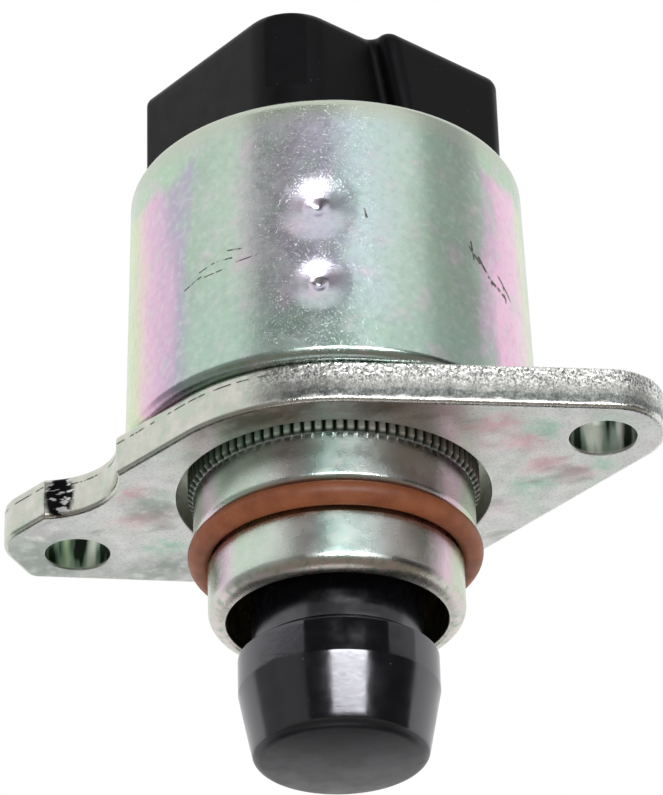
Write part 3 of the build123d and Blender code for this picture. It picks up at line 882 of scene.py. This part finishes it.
def can_wall_shape(radii, angles, height):
    if radii[0] < can_bore + can_wall / 2 or height > can_top - rim_radius:
        return radii
    turn = (angles - math.radians(dimple_angle) + math.pi) % TAU - math.pi
    for rise, dish_width, dish_depth, pit_width in DIMPLES:
        level = can_bottom + rise
        radii = sunk(radii, turn, height, level, dish_width, dish_depth)
        radii = sunk(radii, turn, height, level, pit_width, pit_depth)
    return radii


def make_can():
    lip_bottom = can_top - lip_thickness
    profile, _ = rounded_path(
        [(neck_seat, can_bottom), (can_radius, can_bottom), (can_top_radius, can_top), (lip_bore, can_top),
         (lip_bore, lip_bottom), (can_bore, lip_bottom), (can_bore, can_seat), (neck_seat, can_seat)],
        [0, can_foot_radius, rim_radius, lip_edge_radius, 0, 0, 0, 0], step=0.1)
    inner = profile[:, 0] < can_bore + inner_margin
    profile = profile[~inner | (np.arange(len(profile)) % inner_thinning == 0)]
    fine = np.linspace(-dimple_sector, dimple_sector, num=110, endpoint=False)
    coarse = np.linspace(dimple_sector, TAU - dimple_sector, num=150, endpoint=False)
    angles = math.radians(dimple_angle) + np.concatenate((fine, coarse))
    solid = Solid().lathe(profile, angles, can_wall_shape)
    solid.piece("can_shell", "valve_body", "motor_can", "can_zinc")


# Neck: stepped sleeve with a knurled collar in the flange's pocket
def knurl_shape(radii, angles, height):
    if radii[0] <= neck_radius or height < knurl_start:
        return radii
    phase = (angles * knurl_count / TAU) % 1
    rise = np.clip((1 - np.abs(phase - 0.5) * 2) / knurl_fill, 0, 1)
    return neck_radius + (radii - neck_radius) * rise


def make_neck():
    crown = neck_radius + knurl_height
    profile, _ = rounded_path(
        [(mouth_radius, -neck_length), (land_radius, -neck_length), (land_radius, groove_bottom),
         (groove_radius, groove_bottom), (groove_radius, groove_top), (neck_radius, groove_top),
         (neck_radius, knurl_start), (crown, knurl_full), (crown, collar_pocket_depth),
         (neck_radius, collar_pocket_depth), (neck_radius, can_seat), (neck_bore, can_seat),
         (neck_bore, neck_ledge), (mouth_radius, neck_ledge)],
        [mouth_edge_radius, lip_outer_radius, mouth_edge_radius, 0, 0, shoulder_radius] + [0] * 8, step=0.5)
    solid = Solid().lathe(profile, around(knurl_count * knurl_steps), knurl_shape)
    solid.piece("neck_sleeve", "valve_body", "neck_housing", "neck_zinc")


def make_o_ring():
    minor = o_ring_section / 2
    radius = groove_radius + seat_clearance + minor
    height = (groove_top + groove_bottom) / 2
    turn = around(count=40)
    profile = np.stack((radius + minor * np.cos(turn), height + minor * np.sin(turn)), axis=1)
    solid = Solid().lathe(profile, around(count=200))
    solid.piece("seal_ring", "valve_body", "o_ring", "o_ring_rubber")


# Pintle: hollow at the back for the spring and the screw, with its own finish on the band and the dome
def make_pintle():
    shares = np.linspace(0, dome_share, num=14)
    dome = [(tip_radius * share, taper_bottom - dome_height * (1 - share ** 2)) for share in shares]
    corners = [
        (tip_radius, taper_bottom), (band_radius, band_bottom), (band_radius, band_top),
        (skirt_radius, skirt_bottom), (skirt_radius, skirt_top), (spring_pocket_radius, skirt_top),
        (spring_pocket_radius, spring_pocket_floor), (screw_seat_radius, spring_pocket_floor),
        (screw_seat_radius, screw_seat_bottom), (0.0, screw_seat_bottom),
    ]
    radii = [tip_edge_radius, band_edge_radius, band_edge_radius, skirt_foot_radius, skirt_top_radius,
             pocket_edge_radius, 0, 0, 0, 0]
    profile, _ = rounded_path(dome + corners, [0] * len(dome) + radii, step=0.3)
    materials = []
    for radius, height in profile:
        on_band = band_bottom < height < band_top and radius > skirt_radius
        materials.append(2 if height < dome_edge else 1 if on_band else 0)
    solid = Solid().lathe(profile, around(count=220), materials=materials)
    solid.piece("pintle_head", "pintle_body", "pintle", "pintle_plastic", band_plastic, dome_plastic)


def make_spring():
    solid = Solid()
    wire = around(count=12)[:, None]
    upright = np.array((0, 0, 1))
    first = spring_bottom + spring_wire_radius
    last = spring_top - spring_wire_radius
    rings = []
    for share in np.linspace(0, 1, round(spring_turns * spring_turn_steps) + 1):
        angle = TAU * spring_turns * share
        out = np.array((math.cos(angle), math.sin(angle), 0))
        middle = out * spring_coil_radius + upright * (first + (last - first) * share)
        rings.append(solid.add(middle + spring_wire_radius * (np.cos(wire) * out + np.sin(wire) * upright)))
    solid.skin(rings[::-1])
    solid.face(rings[0])
    solid.face(rings[-1][::-1])
    return solid.piece("spring_coil", "valve_body", "pintle_spring", "spring_steel")


# Cap: the disc under the can's rim and the shroud above it, with a flat on its round corner
def turned(points):
    angle = math.radians(connector_angle)
    spin = np.array(((math.cos(angle), math.sin(angle)), (-math.sin(angle), math.cos(angle))))
    return np.asarray(points) @ spin


def shroud_outline():
    ledge = shroud_front - ledge_depth
    return rounded_path(
        [(shroud_right, -shroud_front), (shroud_right, shroud_back), (-shroud_left, shroud_back),
         (-shroud_left, -ledge), (-ledge_start, -ledge), (-ledge_start, -shroud_front)],
        [shroud_right_radius, shroud_back_radius, shroud_left_radius, shroud_corner_radius,
         ledge_inner_radius, ledge_outer_radius], step=0.2)


def within_rim(points, inset):
    """Points moved straight in to the can's rim where they lie outside it."""
    reach = np.linalg.norm(points, axis=1)
    return points * np.minimum(1, (shroud_rim_radius - inset) / reach)[:, None]


def faceted(points):
    """Points moved back to the flat on the shroud's round corner."""
    centre = np.array((shroud_corner_radius - shroud_left, shroud_corner_radius + ledge_depth - shroud_front))
    out = -np.array((math.sqrt(0.5), math.sqrt(0.5)))
    proud = np.maximum((points - centre) @ out - shroud_corner_radius + facet_depth, 0)
    return points - proud[:, None] * out


def leaned(points, height):
    """Points of the front walls moved along them, so that the step leans to the right on its way down."""
    reach = ledge_lean * (shroud_top - height) / (shroud_top - disc_top)
    left = shroud_corner_radius - shroud_left
    right = shroud_right - shroud_right_radius - shroud_top_radius
    share = np.interp(points[:, 0], (left, -ledge_start, right), (0, 1, 0))
    front = points[:, 1] < ledge_depth - shroud_front + shroud_corner_radius
    return points + np.column_stack((np.where(front, reach * share, 0), np.zeros(len(points))))


def socket_outline():
    half_width, half_length = socket_width / 2, socket_length / 2
    inner = half_length - rib_height
    corners = [((half_width, -half_length), socket_corner_radius),
               ((half_width, half_length), socket_corner_radius)]
    for middle in (rib_spacing / 2, -rib_spacing / 2):
        right, left = middle + rib_width / 2, middle - rib_width / 2
        corners += [((right, half_length), rib_foot_radius), ((right, inner), rib_edge_radius),
                    ((left, inner), rib_edge_radius), ((left, half_length), rib_foot_radius)]
    corners += [((-half_width, half_length), socket_corner_radius),
                ((-half_width, -half_length), socket_corner_radius)]
    points, normals = rounded_path(*zip(*corners), step=0.3)
    centre = ((shroud_right - shroud_left) / 2, (shroud_back - shroud_front + ledge_depth) / 2)
    return points + np.array(centre), normals


def make_cap():
    disc_radius = can_bore - seat_clearance
    profile, _ = rounded_path(
        [(bush_recess_radius, disc_bottom), (disc_radius, disc_bottom), (disc_radius, disc_top),
         (screw_recess_radius, disc_top), (screw_recess_radius, bush_recess_top),
         (bush_recess_radius, bush_recess_top)],
        [0, disc_edge_radius, disc_edge_radius, 0, 0, 0], step=1.5)
    solid = Solid().lathe(profile, around(count=180))

    outline, normals = shroud_outline()
    facet_bottom = disc_top + facet_rise
    round_start = shroud_top - shroud_top_radius
    rings = []
    for height in np.linspace(disc_top, facet_bottom, num=4):
        rings.append(solid.add(at_height(turned(within_rim(leaned(outline, height), 0)), height)))
    levels = [(0.0, height) for height in np.linspace(facet_bottom, round_start, num=8)]
    edge = quarter(shroud_top_radius, count=10)
    levels += [(inset, shroud_top - drop) for inset, drop in edge[-2::-1]]
    for inset, height in levels:
        ring = within_rim(leaned(outline - normals * inset, height), inset)
        rings.append(solid.add(at_height(turned(faceted(ring)), height)))
    solid.skin(rings)

    socket, outward = socket_outline()
    steps = [(grow, shroud_top - drop) for grow, drop in quarter(socket_edge_radius, count=5)]
    steps.append((0.0, socket_floor))
    walls = [solid.add(at_height(turned(socket + outward * grow), height)) for grow, height in steps]
    solid.skin(walls)
    solid.cover([rings[-1], walls[0]], up=True)
    solid.cover([walls[-1]], up=True)
    heights = (screw_recess_top, disc_top)
    recess = [solid.add(circle(screw_recess_radius, height, count=64)) for height in heights]
    solid.skin(recess)
    solid.cover([recess[0]], up=False)
    solid.cover([rings[0], recess[1]], up=False)
    solid.piece("connector_shroud", "valve_body", "connector_cap", "cap_plastic")


make_flange()
make_can()
make_neck()
make_o_ring()
make_pintle()
make_cap()
spring = make_spring()
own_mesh(spring)

# Camera: the photograph's place, with the flange's centre at its pixel
turn, rise, roll = (math.radians(angle) for angle in (CAMERA_TURN, CAMERA_RISE, CAMERA_ROLL))
right = Vector((math.cos(turn), math.sin(turn), 0))
away = Vector((-math.sin(turn), math.cos(turn), 0))
forward = away * math.cos(rise) - Vector((0, 0, math.sin(rise)))
down = -away * math.sin(rise) - Vector((0, 0, math.cos(rise)))
image_x = right * math.cos(roll) + down * math.sin(roll)
image_y = down * math.cos(roll) - right * math.sin(roll)
shift_x, shift_y = ((pixel - size / 2) / FOCAL_PIXELS * CAMERA_DISTANCE
                    for pixel, size in zip(ORIGIN_PIXEL, PHOTO_SIZE))
camera = placed("camera", bpy.data.cameras.new("camera"))
camera.data.sensor_width = SENSOR
camera.data.lens = FOCAL_PIXELS * SENSOR / max(PHOTO_SIZE)
camera.data.clip_start, camera.data.clip_end = CAMERA_CLIP
camera.matrix_world = Matrix.LocRotScale(
    -(image_x * shift_x + image_y * shift_y + forward * CAMERA_DISTANCE) * MM,
    Matrix((image_x, -image_y, -forward)).transposed(), None)
bpy.context.scene.camera = camera

# Stage in metres: a pale floor, a dim room in front for the metal to mirror, and a soft light in it
FLOOR_HEIGHT = -1.2
FLOOR_REACH = 9.0
FLOOR_GLOW = (0.0, 0.28)
WORLD_LIGHT = (0.8, 1.0)
WALL_GRID = 25

# Patches of the room as (name, azimuths, elevations, distance, shade, and a tint if not white), in degrees
ROOM_WALLS = (
    ("room_front", (-42, 11), (31, 41), 0.42, 0.18),
    ("room_middle", (-42, 11), (24, 31), 0.42, 0.42),
    ("room_right", (58, 95), (18, 62), 0.42, 0.52),
    ("room_low", (-38, 92), (-14, 25), 0.44, 0.04),
    ("room_low_middle", (-72, -38), (-14, 19), 0.44, 0.34),
    ("room_floor", (-72, 92), (-75, -14), 0.44, 0.24, WARM),
    ("room_low_left", (-106, -72), (-75, 19), 0.44, 0.3),
    ("room_under", (92, 254), (-80, -37), 0.44, 0.04),
)


def toward(azimuth, elevation):
    """Direction from the object, azimuth counted in degrees to the right of the camera's side."""
    azimuth, elevation = math.radians(azimuth), math.radians(elevation)
    flat = right * math.sin(azimuth) - away * math.cos(azimuth)
    return flat * math.cos(elevation) + Vector((0, 0, math.sin(elevation)))


def room_wall(name, azimuths, elevations, distance, shade, tint=WHITE):
    """A glowing patch of a sphere round the object, which only shows in what mirrors it."""
    columns = np.linspace(*azimuths, WALL_GRID)
    rows = np.linspace(*elevations, WALL_GRID)
    vertices = [toward(azimuth, elevation) * distance for elevation in rows for azimuth in columns]
    starts = [row * WALL_GRID + column for row in range(WALL_GRID - 1) for column in range(WALL_GRID - 1)]
    faces = [(start, start + 1, start + WALL_GRID + 1, start + WALL_GRID) for start in starts]
    mesh = bpy.data.meshes.new(name)
    mesh.from_pydata(vertices, [], faces)
    glow = Graph(name, Base_Color=BLACK, Specular_IOR_Level=0.0, Roughness=1.0)
    mesh.materials.append(glow.feed(Emission_Color=tint, Emission_Strength=shade))
    wall = placed(name, mesh)
    wall.visible_camera = wall.visible_diffuse = wall.visible_shadow = False


def in_view(tree, otherwise, seen):
    """One value for rays from the camera, straight or by way of a mirror, and another for other rays."""
    path = tree.nodes.new("ShaderNodeLightPath")
    total = tree.nodes.new("ShaderNodeMath")
    total.operation = "ADD"
    for ray, socket in zip(("Is Camera Ray", "Is Glossy Ray"), total.inputs):
        tree.links.new(path.outputs[ray], socket)
    choice = tree.nodes.new("ShaderNodeMapRange")
    choice.inputs["To Min"].default_value = otherwise
    choice.inputs["To Max"].default_value = seen
    tree.links.new(total.outputs[0], choice.inputs["Value"])
    return choice.outputs["Result"]


def soft_light(name, azimuth, elevation, distance, size, watts):
    light = bpy.data.lights.new(name, "AREA")
    light.shape = "RECTANGLE"
    light.size, light.size_y = size
    light.energy = watts
    lamp = placed(name, light)
    direction = toward(azimuth, elevation)
    lamp.matrix_world = Matrix.LocRotScale(direction * distance, direction.to_track_quat("Z", "Y"), None)
    lamp.visible_camera = lamp.visible_diffuse = False


for wall in ROOM_WALLS:
    room_wall(*wall)

floor_mesh = bpy.data.meshes.new("floor")
corners = [(x * FLOOR_REACH, y * FLOOR_REACH, FLOOR_HEIGHT) for x, y in ((-1, -1), (1, -1), (1, 1), (-1, 1))]
floor_mesh.from_pydata(corners, [], [(0, 1, 2, 3)])
paint = Graph("floor", Base_Color=PALE, Roughness=0.9, Specular_IOR_Level=0.0, Emission_Color=WHITE)
floor_mesh.materials.append(paint.feed(Emission_Strength=in_view(paint.tree, *FLOOR_GLOW)))
floor = placed("floor", floor_mesh)

soft_light("front_softbox", 11, 6, 0.4, (0.28, 0.065), 1.2)

world = bpy.data.worlds.new("studio")
bpy.context.scene.world = world
world.use_nodes = True
background = world.node_tree.nodes["Background"]
background.inputs["Color"].default_value = (*WHITE, 1)
world.node_tree.links.new(in_view(world.node_tree, *WORLD_LIGHT), background.inputs["Strength"])

bpy.context.scene.view_settings.view_transform = "Standard"
